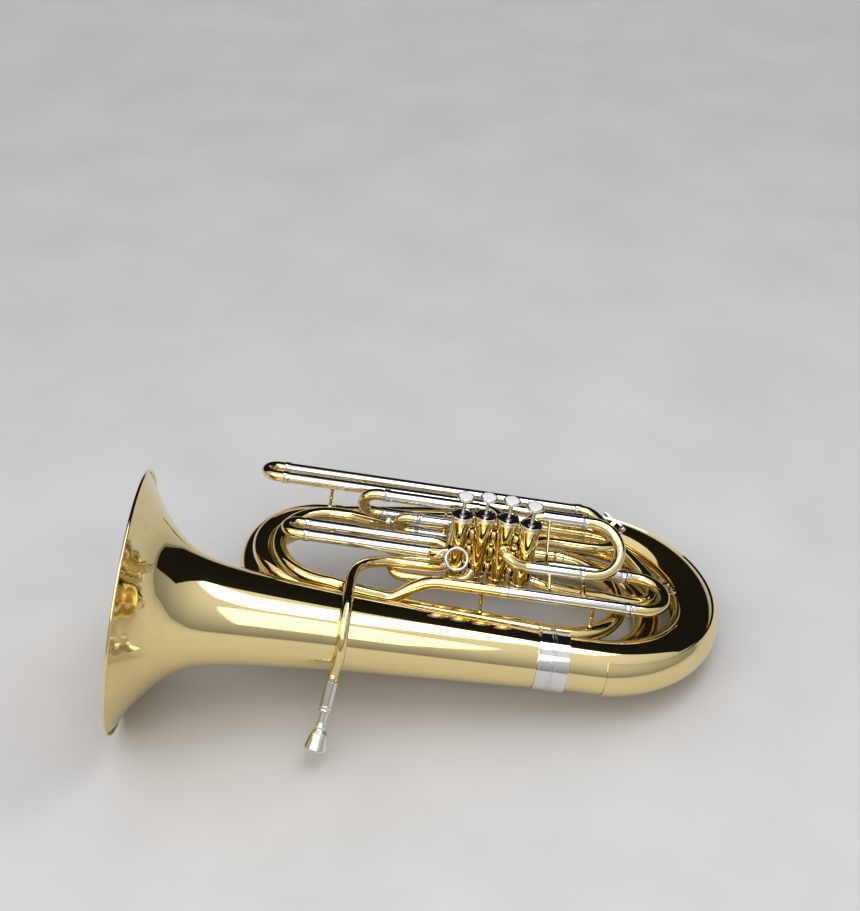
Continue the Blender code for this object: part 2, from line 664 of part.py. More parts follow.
def build_water_key(number, crook, seat, turn, parent):
    """A sprung lever with a cork cup, on a saddle that is soldered to the crook."""
    def spot(along, across, out):
        return seat + turn @ Vector((along, across, out))

    lugs = [
        place(f"helper_lug_{number}_{side}", box_mesh(spot(0, 0.0056 * side, 0.0040),
                                                      (0.006, 0.0016, 0.0125), turn),
              BRASS, parent)
        for side in (-1, 1)
    ]
    spout = place(
        f"helper_spout_{number}", rod_mesh(spot(-KEY_ARM, 0, -0.004), spot(-KEY_ARM, 0, 0.0020),
                                           0.0034), BRASS,
        parent,
    )
    combine("UNION", crook, lugs + [spout])
    barrel = rod_mesh(spot(0, -0.0044, KEY_HEIGHT), spot(0, 0.0044, KEY_HEIGHT), 0.0021)
    pivot = spot(0, 0, KEY_HEIGHT)
    lever = place(f"water_key_{number}", barrel, NICKEL, parent, origin=pivot)
    helpers = [
        box_mesh(spot(0.0, 0, KEY_HEIGHT + 0.0012), (2 * KEY_ARM, 0.0045, 0.0018), turn),
        box_mesh(spot(KEY_ARM, 0, KEY_HEIGHT + 0.0014), (0.009, 0.0085, 0.0020), turn),
        rod_mesh(spot(-KEY_ARM, 0, 0.0020 + GAP), spot(-KEY_ARM, 0, KEY_HEIGHT + 0.0016), 0.0048),
    ]
    combine("UNION", lever, [
        place(f"helper_key_{number}_{k}", mesh, NICKEL, parent) for k, mesh in enumerate(helpers)
    ])


def build_thumb_ring(parent):
    centre = Vector((0.489, 0.106, 0.090))
    axis = Vector((0.05, -0.80, 0.60)).normalized()
    wire = 0.0026
    hoop = [
        (wire * math.sin(a), 0.0170 + wire * math.cos(a)) for a in (2 * math.pi * k / 6 for k in range(6))
    ]
    ring = place("thumb_ring", turned_mesh(hoop, centre, axis, X_AXIS, 18, ring_shape=True), NICKEL, parent)
    u = (X_AXIS - axis * X_AXIS.dot(axis)).normalized()
    edge = centre - u * 0.0168
    plate = box_mesh((0.4575, 0.1192, 0.077), (0.019, 0.0016, 0.034))
    arm = rod_mesh(edge, Vector((0.4600, 0.1190, 0.084)), 0.0024)
    combine("UNION", ring, [
        place("helper_ring_plate", plate, NICKEL, parent), place("helper_ring_arm", arm, NICKEL, parent)
    ])


def add_posts(targets, parent):
    """Stays soldered to one tube, ending a hair short of its neighbour."""
    posts = [
        # the tube's node, its radius, a point on its axis, and the free end of the post
        (targets["main"][0], MAIN_R, (0.714, *MAIN_LEGS[0]), (0.716, 0.0835, 0.0132)),
        (targets["third_top_bow"], MAIN_R, (0.535, *MAIN_LEGS[0]), (0.538, 0.0765, 0.0155)),
        (targets["third_lower"][0], SLIDE_R, (0.640, *THIRD_LEGS[0]), (0.641, 0.0938, 0.0621)),
        (targets["fourth"][0], SLIDE_R, (0.280, 0.312, 0.060), (0.280, 0.3125, 0.0135)),
    ]
    for number, (target, radius, axis_point, end) in enumerate(posts):
        axis_point, end = Vector(axis_point), Vector(end)
        start = axis_point + (end - axis_point).normalized() * radius * 0.92
        helpers = [
            place(f"helper_post_{number}_{k}", mesh, BRASS, parent) for k,
            mesh in enumerate(post_meshes(start, end))
        ]
        combine("UNION", target, helpers)


def stand_on_floor(rest):
    """Moves the whole horn so that the world origin is below the middle of its box, on the floor."""
    bpy.context.view_layer.update()
    graph = bpy.context.evaluated_depsgraph_get()
    low, high = Vector((1e9, 1e9, 1e9)), Vector((-1e9, -1e9, -1e9))
    for thing in rest.children:
        if thing.hide_render:
            continue
        solid = thing.evaluated_get(graph)
        for vertex in solid.data.vertices:
            point = solid.matrix_world @ vertex.co
            low = Vector(map(min, low, point))
            high = Vector(map(max, high, point))
    rest.location = -Vector(((low.x + high.x) / 2, (low.y + high.y) / 2, low.z))


def main():
    clear_scene()
    rest = bpy.data.objects.new("rest_pose", None)
    bpy.context.scene.collection.objects.link(rest)
    rest.rotation_euler = (REST_ROLL, REST_PITCH, 0)
    build_bell(rest)
    body = build_body(rest)
    for index in range(4):
        build_valve(index, rest)
    slides = build_slides(rest)
    build_valve_tubing(rest)
    build_leadpipe(rest)
    build_thumb_ring(rest)
    seats = [
        (slides["third_lower"][1], key_seat(THIRD_BEND_X, *THIRD_LEGS, math.radians(148), SLIDE_R)),
        (slides["main"][1], key_seat(MAIN_BEND_X, *MAIN_LEGS, math.radians(124), MAIN_R)),
    ]
    for number, (crook, (seat, turn)) in enumerate(seats, start=1):
        build_water_key(number, crook, seat, turn, rest)
    add_posts({**body, **slides}, rest)
    stand_on_floor(rest)


main()
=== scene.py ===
"""The looks of a four-valve tuba lying on its back: polished surfaces, fittings, floor, light and camera.

Shapes are given in the horn's own frame, in metres: the bell's axis is X with the rim at x = 0, the valves
point up (+Z) and the tubing lies on the +Y side of the bell. REST then lays them where the CAD model lies.
"""

import math

import bmesh
import bpy
from mathutils import Euler, Matrix, Vector


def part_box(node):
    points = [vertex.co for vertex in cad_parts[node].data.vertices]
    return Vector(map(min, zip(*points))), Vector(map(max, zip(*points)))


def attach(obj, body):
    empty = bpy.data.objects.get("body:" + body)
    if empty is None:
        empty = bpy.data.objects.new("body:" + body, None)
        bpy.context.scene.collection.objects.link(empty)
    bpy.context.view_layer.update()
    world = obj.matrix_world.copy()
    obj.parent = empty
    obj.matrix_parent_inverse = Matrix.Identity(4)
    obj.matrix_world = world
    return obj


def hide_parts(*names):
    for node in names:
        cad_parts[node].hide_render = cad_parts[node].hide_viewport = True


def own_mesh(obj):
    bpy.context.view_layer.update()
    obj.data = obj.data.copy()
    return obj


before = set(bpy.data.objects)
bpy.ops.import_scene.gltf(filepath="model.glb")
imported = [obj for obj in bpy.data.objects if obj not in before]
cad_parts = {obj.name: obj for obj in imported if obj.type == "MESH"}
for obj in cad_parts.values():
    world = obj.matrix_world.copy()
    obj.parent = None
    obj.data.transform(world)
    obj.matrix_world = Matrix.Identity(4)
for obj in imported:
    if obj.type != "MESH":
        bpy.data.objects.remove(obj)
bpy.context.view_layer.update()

X_AXIS, Y_AXIS, Z_AXIS = Vector((1, 0, 0)), Vector((0, 1, 0)), Vector((0, 0, 1))
ROLL_DEGREES, PITCH_DEGREES = -3.873, 8.414
REST_TURN = Euler((math.radians(ROLL_DEGREES), math.radians(PITCH_DEGREES), 0)).to_matrix()
RIM_CENTRE = Vector((0.0015, 0, 0))
rim_low, rim_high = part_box("bell_rim_wire")
REST = Matrix.Translation((rim_low + rim_high) / 2 - REST_TURN @ RIM_CENTRE) @ REST_TURN.to_4x4()

# The same driving dimensions as the CAD model, in metres.
WALL = 0.0012
BELL_OUTLINE = [
    (0.0, 0.2005), (0.012, 0.180), (0.030, 0.152), (0.050, 0.127), (0.075, 0.104), (0.105, 0.088),
    (0.150, 0.0775), (0.220, 0.0690), (0.320, 0.0610), (0.450, 0.0540), (0.575, 0.0484), (0.628, 0.0453),
    (0.651, 0.0450),
]
THROAT_X, THROAT_R = BELL_OUTLINE[-1]
COLLAR_HALF = 0.0245
BOW_X, BOW_R = 0.717, 0.178
BOW_TUBE = (0.0432, 0.0360)
TOP_X = 0.287
VALVE_X0, VALVE_PITCH = 0.489, 0.0367
VALVE_Y = (0.151, 0.158, 0.158, 0.151)
CASING_R, CASING_BORE = 0.0158, 0.0138
CASING_Z = (0.026, 0.138)
CAP_R, CAP_HEIGHT = 0.0174, 0.0078
STEM_R, STEM_TOP = 0.0032, 0.1745
BUTTON_R, PEARL_R = 0.0138, 0.0118
SLIDE_R, MAIN_R = 0.0094, 0.0098
MAIN_LEGS, MAIN_BEND_X = ((0.084, 0.056), (0.170, 0.056)), 0.788
THIRD_LEGS, THIRD_BEND_X = ((0.124, 0.081), (0.200, 0.130)), 0.705
HORN = "horn"

# Sizes that only the looks use.
GAP = 0.0003  # left between neighbours that touch on the real horn
SHARP_DEGREES = 35  # edges steeper than this stay crisp
KNURL_TEETH, KNURL_DEPTH = 72, 0.00022
STAY_SEAT = 0.96  # a stay starts this share of the radius from a tube's axis
BOW_FERRULE, BOW_FERRULE_HEIGHT = 0.017, 0.0013


# ---------------------------------------------------------------- materials
def node_of(tree, kind, **values):
    """A shader node with its inputs or settings given by name."""
    made = tree.nodes.new(kind)
    for key, value in values.items():
        if key in made.inputs:
            made.inputs[key].default_value = value
        else:
            setattr(made, key, value)
    return made


def metal(name, colour, deep, roughness, streak=0.0, coat=0.0):
    """Polished metal: slow tint changes, faint smears in the gloss, and streaks along the tubes if asked."""
    made = bpy.data.materials.new(name)
    made.use_nodes = True
    tree = made.node_tree
    link = tree.links.new
    shader = tree.nodes["Principled BSDF"]
    shader.inputs["Metallic"].default_value = 1.0
    shader.inputs["Coat Weight"].default_value = coat
    shader.inputs["Coat Roughness"].default_value = 0.04
    place = node_of(tree, "ShaderNodeTexCoord")
    along = node_of(tree, "ShaderNodeMapping")
    along.inputs["Rotation"].default_value = (0, -math.radians(PITCH_DEGREES), 0)
    along.inputs["Scale"].default_value = (0.02, 1, 1) if streak else (1, 1, 1)
    link(place.outputs["Object"], along.inputs["Vector"])

    cloud = node_of(tree, "ShaderNodeTexNoise", Scale=9.0, Detail=4.0, Roughness=0.55)
    link(place.outputs["Object"], cloud.inputs["Vector"])
    tint = node_of(tree, "ShaderNodeMix", data_type="RGBA")
    tint.inputs["A"].default_value = (*colour, 1)
    tint.inputs["B"].default_value = (*deep, 1)
    link(cloud.outputs["Fac"], tint.inputs["Factor"])
    link(tint.outputs["Result"], shader.inputs["Base Color"])

    smear = node_of(tree, "ShaderNodeTexNoise", Scale=46.0, Detail=6.0, Roughness=0.7, Distortion=0.6)
    link(place.outputs["Object"], smear.inputs["Vector"])
    gloss = node_of(tree, "ShaderNodeMapRange")
    gloss.inputs["From Min"].default_value = 0.35
    gloss.inputs["From Max"].default_value = 0.75
    gloss.inputs["To Min"].default_value = roughness * 0.7
    gloss.inputs["To Max"].default_value = roughness * 1.5
    link(smear.outputs["Fac"], gloss.inputs["Value"])
    link(gloss.outputs["Result"], shader.inputs["Roughness"])

    grain = node_of(tree, "ShaderNodeTexNoise", Scale=620.0 if streak else 180.0, Detail=3.0)
    link(along.outputs["Vector"], grain.inputs["Vector"])
    bump = node_of(tree, "ShaderNodeBump", Strength=max(streak, 0.012), Distance=0.0004)
    link(grain.outputs["Fac"], bump.inputs["Height"])
    link(bump.outputs["Normal"], shader.inputs["Normal"])
    return made


def shell_material():
    """Mother of pearl: pale, with soft cloudy bands of cream, pink and green-grey."""
    made = bpy.data.materials.new("pearl_look")
    made.use_nodes = True
    tree = made.node_tree
    shader = tree.nodes["Principled BSDF"]
    shader.inputs["Roughness"].default_value = 0.16
    shader.inputs["Coat Weight"].default_value = 0.6
    place = node_of(tree, "ShaderNodeTexCoord")
    wave = node_of(tree, "ShaderNodeTexNoise", Scale=210.0, Detail=3.0, Distortion=1.6)
    tree.links.new(place.outputs["Object"], wave.inputs["Vector"])
    ramp = node_of(tree, "ShaderNodeValToRGB")
    ramp.color_ramp.elements[0].position = 0.30
    ramp.color_ramp.elements[0].color = (0.76, 0.77, 0.73, 1)
    ramp.color_ramp.elements[1].position = 0.72
    ramp.color_ramp.elements[1].color = (0.93, 0.92, 0.89, 1)
    middle = ramp.color_ramp.elements.new(0.52)
    middle.color = (0.89, 0.86, 0.82, 1)
    tree.links.new(wave.outputs["Fac"], ramp.inputs["Fac"])
    tree.links.new(ramp.outputs["Color"], shader.inputs["Base Color"])
    return made


def matt_material(name, dark, light, roughness, scale):
    """Cork, felt or a painted floor: two close tones in fine grains."""
    made = bpy.data.materials.new(name)
    made.use_nodes = True
    tree = made.node_tree
    shader = tree.nodes["Principled BSDF"]
    shader.inputs["Roughness"].default_value = roughness
    place = node_of(tree, "ShaderNodeTexCoord")
    grain = node_of(tree, "ShaderNodeTexNoise", Scale=scale, Detail=5.0)
    tree.links.new(place.outputs["Object"], grain.inputs["Vector"])
    ramp = node_of(tree, "ShaderNodeValToRGB")
    ramp.color_ramp.elements[0].position = 0.35
    ramp.color_ramp.elements[0].color = (*dark, 1)
    ramp.color_ramp.elements[1].position = 0.65
    ramp.color_ramp.elements[1].color = (*light, 1)
    tree.links.new(grain.outputs["Fac"], ramp.inputs["Fac"])
    tree.links.new(ramp.outputs["Color"], shader.inputs["Base Color"])
    bump = node_of(tree, "ShaderNodeBump", Strength=0.2, Distance=0.0003)
    tree.links.new(grain.outputs["Fac"], bump.inputs["Height"])
    tree.links.new(bump.outputs["Normal"], shader.inputs["Normal"])
    return made


LOOKS = {
    "brass": (metal("brass_look", (0.89, 0.745, 0.42), (0.86, 0.70, 0.34), 0.055, coat=0.30),
        "lacquered_brass"),
    "nickel": (metal("nickel_look", (0.83, 0.82, 0.79), (0.74, 0.73, 0.70), 0.075, streak=0.05),
        "nickel_silver"),
    "polished_nickel": (metal("polished_nickel_look", (0.84, 0.82, 0.79), (0.78, 0.76, 0.72), 0.05),
        "nickel_silver"),
    "silver": (metal("silver_look", (0.90, 0.89, 0.86), (0.84, 0.82, 0.78), 0.060), "silver_plate"),
    "monel": (metal("monel_look", (0.58, 0.57, 0.54), (0.50, 0.49, 0.46), 0.20, streak=0.12), "monel"),
    "steel": (metal("steel_look", (0.45, 0.45, 0.46), (0.36, 0.36, 0.37), 0.25), "spring_steel"),
    "pearl": (shell_material(), "pearl"),
    "felt": (matt_material("felt_look", (0.012, 0.012, 0.013), (0.03, 0.03, 0.032), 0.95, 900.0), "pearl"),
    "cork": (matt_material("cork_look", (0.30, 0.19, 0.10), (0.52, 0.36, 0.21), 0.9, 700.0), "pearl"),
}


# ---------------------------------------------------------------- meshes
def loft(rings, closed_loop=False):
    """Skins a list of rings of equal count, with capped ends unless the loft is a loop."""
    mesh = bmesh.new()
    made = [[mesh.verts.new(p) for p in ring] for ring in rings]
    count = len(made[0])
    for a, b in list(zip(made, made[1:])) + ([(made[-1], made[0])] if closed_loop else []):
        for i in range(count):
            j = (i + 1) % count
            mesh.faces.new((a[i], a[j], b[j], b[i]))
    if not closed_loop:
        mesh.faces.new(made[0][::-1])
        mesh.faces.new(made[-1])
    bmesh.ops.recalc_face_normals(mesh, faces=mesh.faces)
    data = bpy.data.meshes.new("look")
    mesh.to_mesh(data)
    mesh.free()
    return data


def piece(name, meshes, look, body, *nodes):
    """One named piece, from meshes in the horn's frame. It rides on a body and stands for the nodes given."""
    meshes = meshes if isinstance(meshes, list) else [meshes]
    joined = bmesh.new()
    for mesh in meshes:
        joined.from_mesh(mesh)
    data = bpy.data.meshes.new(name)
    joined.to_mesh(data)
    joined.free()
    data.transform(REST)
    made, slot = LOOKS[look]
    data.materials.append(made)
    data.shade_smooth()
    data.set_sharp_from_angle(angle=math.radians(SHARP_DEGREES))
    thing = bpy.data.objects.new(name, data)
    bpy.context.scene.collection.objects.link(thing)
    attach(thing, body)
    if nodes:
        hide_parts(*nodes)
    return thing


def arc(start, end, bulge, steps):
    """Points of a half circle from start to end that bulges along the unit vector bulge."""
    start, end = Vector(start), Vector(end)
    centre, arm = (start + end) / 2, (start - end) / 2
    turn = [i * math.pi / steps for i in range(steps + 1)]
    return [centre + arm * math.cos(a) + Vector(bulge) * arm.length * math.sin(a) for a in turn]


def smooth(points, steps=10):
    """A Catmull-Rom curve through the points."""
    points = [Vector(p) for p in points]
    ends = [2 * points[0] - points[1]] + points + [2 * points[-1] - points[-2]]
    route = []
    for i in range(len(points) - 1):
        a, b, c, d = ends[i : i + 4]
        for step in range(steps):
            t = step / steps
            route.append(
                0.5 * (2 * b + (c - a) * t + (2 * a - 5 * b + 4 * c - d) * t**2
                       + (3 * b - a - 3 * c + d) * t**3)
            )
    return route + [points[-1]]


def lengths(path):
    """The length run at each point of a path."""
    run = [0.0]
    for a, b in zip(path, path[1:]):
        run.append(run[-1] + (b - a).length)
    return run


def between(path, start, stop):
    """The stretch of a path between two lengths, a negative length counting from the end."""
    run = lengths(path)
    start, stop = (s if s >= 0 else run[-1] + s for s in (start, stop))
    found = []
    for i in range(len(path) - 1):
        for s in (start, stop):
            if run[i] <= s <= run[i + 1] and run[i + 1] > run[i]:
                found.append((s, path[i].lerp(path[i + 1], (s - run[i]) / (run[i + 1] - run[i]))))
        if start < run[i + 1] < stop:
            found.append((run[i + 1], path[i + 1]))
    found.sort(key=lambda item: item[0])
    return [p for i, (s, p) in enumerate(found) if i == 0 or s - found[i - 1][0] > 1e-5]


def tube(path, stations, sides, bore=None):
    """A round tube along a path. Stations are (length, radius) pairs, or one radius for the whole tube.

    A bore is the pair of radii inside its two open ends, and without one the ends are capped.
    """
    path = [Vector(p) for p in path]
    run = lengths(path)
    total = run[-1]
    if not isinstance(stations, list):
        stations = [(0.0, stations)]
    stations = [(s if s >= 0 else total + s, r) for s, r in stations]
    stations.append((max(total, stations[-1][0] + 1e-6), stations[-1][1]))

    def radius_at(s):
        for (s0, r0), (s1, r1) in zip(stations, stations[1:]):
            if s <= s1:
                return r0 + (r1 - r0) * max(s - s0, 0) / max(s1 - s0, 1e-9)
        return stations[-1][1]

    cuts = sorted({round(s, 6) for s in run + [s for s, _ in stations] if s <= total + 1e-9})
    points, i = [], 0
    for s in cuts:
        while i < len(run) - 2 and s > run[i + 1]:
            i += 1
        points.append(path[i].lerp(path[i + 1], (s - run[i]) / max(run[i + 1] - run[i], 1e-9)))
    along = (points[1] - points[0]).normalized()
    side = along.orthogonal().normalized()
    outer, inner = [], []
    for i, (s, point) in enumerate(zip(cuts, points)):
        ahead = points[min(i + 1, len(points) - 1)] - point
        behind = point - points[max(i - 1, 0)]
        along = (ahead.normalized() + behind.normalized()).normalized()
        side = (side - along * side.dot(along)).normalized()
        up = along.cross(side)
        turn = [(math.cos(2 * math.pi * k / sides), math.sin(2 * math.pi * k / sides)) for k in range(sides)]
        reach = radius_at(s)
        outer.append([point + reach * (c * side + d * up) for c, d in turn])
        if bore:
            hollow = bore[0] + (bore[1] - bore[0]) * s / total
            inner.append([point + hollow * (c * side + d * up) for c, d in turn])
    return loft(outer + inner[::-1], True) if bore else loft(outer)


def band(path, start, stop, radius, height, sides=36):
    """A ferrule round part of a path, with a rounded bead at each edge.

    Radius is a number or a (start, end) pair.
    """
    stretch = between(path, start, stop)
    total = lengths(stretch)[-1]
    near, far = radius if isinstance(radius, tuple) else (radius, radius)
    bead = 0.0005
    return tube(stretch, [
        (0.0, near + 0.1 * height), (bead, near + height), (2.5 * bead, near + 1.25 * height),
        (4 * bead, near + height), (4.6 * bead, near + 0.75 * height),
        (total - 4.6 * bead, far + 0.75 * height),
        (total - 4 * bead, far + height), (total - 2.5 * bead, far + 1.25 * height),
        (total - bead, far + height),
        (total, far + 0.1 * height),
    ], sides)


def lathe(outline, centre, axis=Z_AXIS, sides=64, closed=True):
    """A solid turned about an axis from (height, radius) pairs. A closed outline comes back to its start."""
    axis = Vector(axis).normalized()
    u = axis.orthogonal().normalized()
    v = axis.cross(u)
    turn = [2 * math.pi * k / sides for k in range(sides)]
    rings = [
        [Vector(centre) + h * axis + r * (math.cos(a) * u + math.sin(a) * v) for a in turn] for h,
        r in outline
    ]
    return loft(rings, closed)


def rounded(outline, steps=6):
    """A smooth curve through the outline's (height, radius) points."""
    return [(p.x, p.y) for p in smooth([(h, r, 0) for h, r in outline], steps)]


def rod(start, end, radius, sides=20):
    return tube([Vector(start), Vector(end)], radius, sides)


def stay(start, end, radius=0.0026):
    """A brace: a thin rod with a flange at each foot and a small collar in the middle."""
    start, end = Vector(start), Vector(end)
    total = (end - start).length
    foot = min(0.0032, total * 0.2)
    mid = total / 2
    return lathe([
        (0.0, radius * 1.9), (foot * 0.35, radius * 1.8), (foot * 0.7, radius * 1.25), (foot, radius),
        (mid - 0.0014, radius), (mid - 0.0008, radius * 1.25), (mid + 0.0008, radius * 1.25),
        (mid + 0.0014, radius),
        (total - foot, radius), (total - foot * 0.7, radius * 1.25), (total - foot * 0.35, radius * 1.8),
        (total, radius * 1.9),
    ], start, end - start, 24, closed=False)


def slab(centre, size, turn=None, bevel=0.0005):
    """A flat plate with rounded edges, its sides along the axes of the 3x3 matrix turn."""
    turn = turn or Matrix.Identity(3)
    mesh = bmesh.new()
    bmesh.ops.create_cube(mesh, size=1.0)
    bmesh.ops.transform(mesh, matrix=Matrix.Diagonal((*size, 1)), verts=mesh.verts)
    bmesh.ops.bevel(mesh, geom=mesh.edges[:], offset=bevel, segments=3, affect="EDGES")
    bmesh.ops.transform(mesh, matrix=Matrix.Translation(centre) @ turn.to_4x4(), verts=mesh.verts)
    data = bpy.data.meshes.new("slab")
    mesh.to_mesh(data)
    mesh.free()
    return data


# ---------------------------------------------------------------- bell and bows
def bell_radius(x):
    """The bell's outer radius at a distance from its rim."""
    for (x0, r0), (x1, r1) in zip(BELL_OUTLINE, BELL_OUTLINE[1:]):
        if x <= x1:
            return r0 + (r1 - r0) * (x - x0) / (x1 - x0)
    return THROAT_R


def build_bell():
    outer = rounded(BELL_OUTLINE, 10)
    inner = [(x, r - WALL) for x, r in outer]
    inner[0] = (inner[0][0] - 0.0004, inner[0][1])
    piece("bell_skin", lathe(outer + inner[::-1], (0, 0, 0), X_AXIS, 160), "brass", HORN, "bell")
    wire_r, ring_r = 0.0026, BELL_OUTLINE[0][1] + 0.0022
    wire = [
        (RIM_CENTRE.x + wire_r * math.sin(a), ring_r + wire_r * math.cos(a))
        for a in (2 * math.pi * k / 16 for k in range(16))
    ]
    piece("bell_rim_bead", lathe(wire, (0, 0, 0), X_AXIS, 160), "brass", HORN, "bell_rim_wire")
    bead, inside, outside, half = 0.0017, THROAT_R + 0.0008, THROAT_R + 0.0024, COLLAR_HALF

    def ring_at(x, width):
        return [
            (x - width, outside), (x - width * 0.8, outside + bead * 0.7), (x - width * 0.4, outside + bead),
            (x + width * 0.4, outside + bead), (x + width * 0.8, outside + bead * 0.7), (x + width, outside),
        ]

    collar = [(-half, inside), (-half, outside)] + ring_at(-half + 0.0022, 0.0018)
    collar += ring_at(-0.0026, 0.0016) + ring_at(0.0016, 0.0016) + [(half - 0.0006, outside),
        (half, outside - 0.0008)]
    collar += [(half, inside)]
    piece("collar_rings", lathe(collar, (THROAT_X, 0, 0), X_AXIS, 128), "polished_nickel", HORN,
        "bell_collar")


def build_guard(path):
    """A thin strip over the outside of the bottom bow, with a raised edge."""
    spread, steps = math.radians(48), 16
    run = lengths(path)
    centre = Vector((BOW_X, BOW_R, 0))
    rings = []
    for point, s in list(zip(path, run))[2:-2]:
        radius = BOW_TUBE[0] + (BOW_TUBE[1] - BOW_TUBE[0]) * s / run[-1]
        out = (point - centre).normalized()
        turn = [spread * (2 * k / steps - 1) for k in range(steps + 1)]
        skin = [(radius + (0.0021 if k in (0, steps) else 0.0015), a) for k, a in enumerate(turn)]
        skin += [(radius - 0.0004, a) for a in turn[::-1]]
        rings.append([point + r * (math.cos(a) * out + math.sin(a) * Z_AXIS) for r, a in skin])
    piece("bow_guard_strip", loft(rings), "brass", HORN, "bottom_bow_guard")


def build_bows():
    far = 2 * BOW_R
    bottom = [Vector((THROAT_X, 0, 0))] + arc((BOW_X, 0, 0), (BOW_X, far, 0), X_AXIS, 72)
    build_guard(bottom[1:])
    spans = {
        "bottom_bow": (bottom, *BOW_TUBE, "end"),
        "outer_branch": (
            [Vector((BOW_X, far, 0))]
            + smooth([(0.690, far, 0), (0.600, 0.351, -0.001), (0.330, 0.316, -0.016),
                (0.306, 0.313, -0.018)])
            + [Vector((TOP_X, 0.313, -0.018))], 0.0355, 0.0300, "end"),
        "first_top_bow": (arc((TOP_X, 0.313, -0.018), (TOP_X, 0.090, -0.045), -X_AXIS, 64), 0.0295, 0.0270,
            ""),
        "second_bottom_bow": (
            [Vector((TOP_X, 0.090, -0.045))] + smooth([(0.330, 0.090, -0.045), (0.690, 0.077, -0.045)])
            + arc((0.712, 0.077, -0.045), (0.712, 0.315, -0.045), X_AXIS, 56), 0.0265, 0.0220, "start end"),
        "second_top_bow": (
            [Vector((0.712, 0.315, -0.045))]
            + smooth([(0.70, 0.315, -0.045), (0.60, 0.311, -0.046), (0.46, 0.284, -0.042),
                (0.41, 0.273, -0.024),
                      (0.36, 0.268, 0.000), (0.292, 0.268, 0.0175)])
            + arc((0.269, 0.268, 0.018), (0.269, 0.094, 0.008), -X_AXIS, 56), 0.0215, 0.0152, "start"),
        "third_bottom_bow": (
            [Vector((0.269, 0.094, 0.008))]
            + smooth([(0.284, 0.094, 0.008), (0.330, 0.0915, 0.001), (0.45, 0.081, 0.000),
                (0.650, 0.072, -0.003)])
            + arc((0.668, 0.072, -0.003), (0.668, 0.280, -0.003), X_AXIS, 56), 0.0150, 0.0138, "start end"),
        "third_top_bow": (
            [Vector((0.668, 0.280, -0.003))]
            + smooth([(0.65, 0.280, -0.003), (0.56, 0.280, -0.002), (0.46, 0.270, 0.012),
                (0.37, 0.252, 0.034),
                      (0.315, 0.2455, 0.0445)])
            + arc((0.296, 0.245, 0.045), (0.296, 0.0705, 0.037), -X_AXIS, 56)
            + smooth([(0.335, 0.071, 0.029), (0.369, 0.072, 0.024), (0.398, 0.074, 0.0225),
                (0.429, 0.080, 0.043),
                      (0.455, 0.083, 0.0545), (0.490, 0.084, 0.056), (0.560, 0.084, 0.056)])
            + [Vector((0.577, 0.084, 0.056))], 0.0132, 0.0098, "start"),
    }
    for name, (path, start, end, ferrules) in spans.items():
        total = lengths(path)[-1]
        meshes = [tube(path, [(0.0, start), (total, end)], 64, bore=(start - WALL, end - WALL))]
        slope = (end - start) / total
        if "start" in ferrules:
            radii = (start, start + slope * BOW_FERRULE)
            meshes.append(band(path, 0.0002, BOW_FERRULE, radii, BOW_FERRULE_HEIGHT, 64))
        if "end" in ferrules:
            radii = (end - slope * BOW_FERRULE, end)
            meshes.append(band(path, total - BOW_FERRULE, total - 0.0002, radii, BOW_FERRULE_HEIGHT, 64))
        piece(name + "_skin", meshes, "brass", HORN, name)
    top = spans["third_top_bow"][0]
    piece("main_slide_entry_ferrule", band(top, -0.016, -0.0003, MAIN_R, 0.0011), "polished_nickel", HORN)


# ---------------------------------------------------------------- valves
def valve_centre(index):
    return Vector((VALVE_X0 + index * VALVE_PITCH, VALVE_Y[index], 0))


def knurled(outline, centre, rows):
    """A lathed cap whose listed rows of the outline are cut into fine ridges."""
    sides = KNURL_TEETH * 2
    rings = []
    for row, (h, r) in enumerate(outline):
        ring = []
        for k in range(sides):
            reach, angle = r - (KNURL_DEPTH if row in rows and k % 2 else 0), 2 * math.pi * k / sides
            ring.append(Vector(centre) + Vector((reach * math.cos(angle), reach * math.sin(angle), h)))
        rings.append(ring)
    return loft(rings, True)


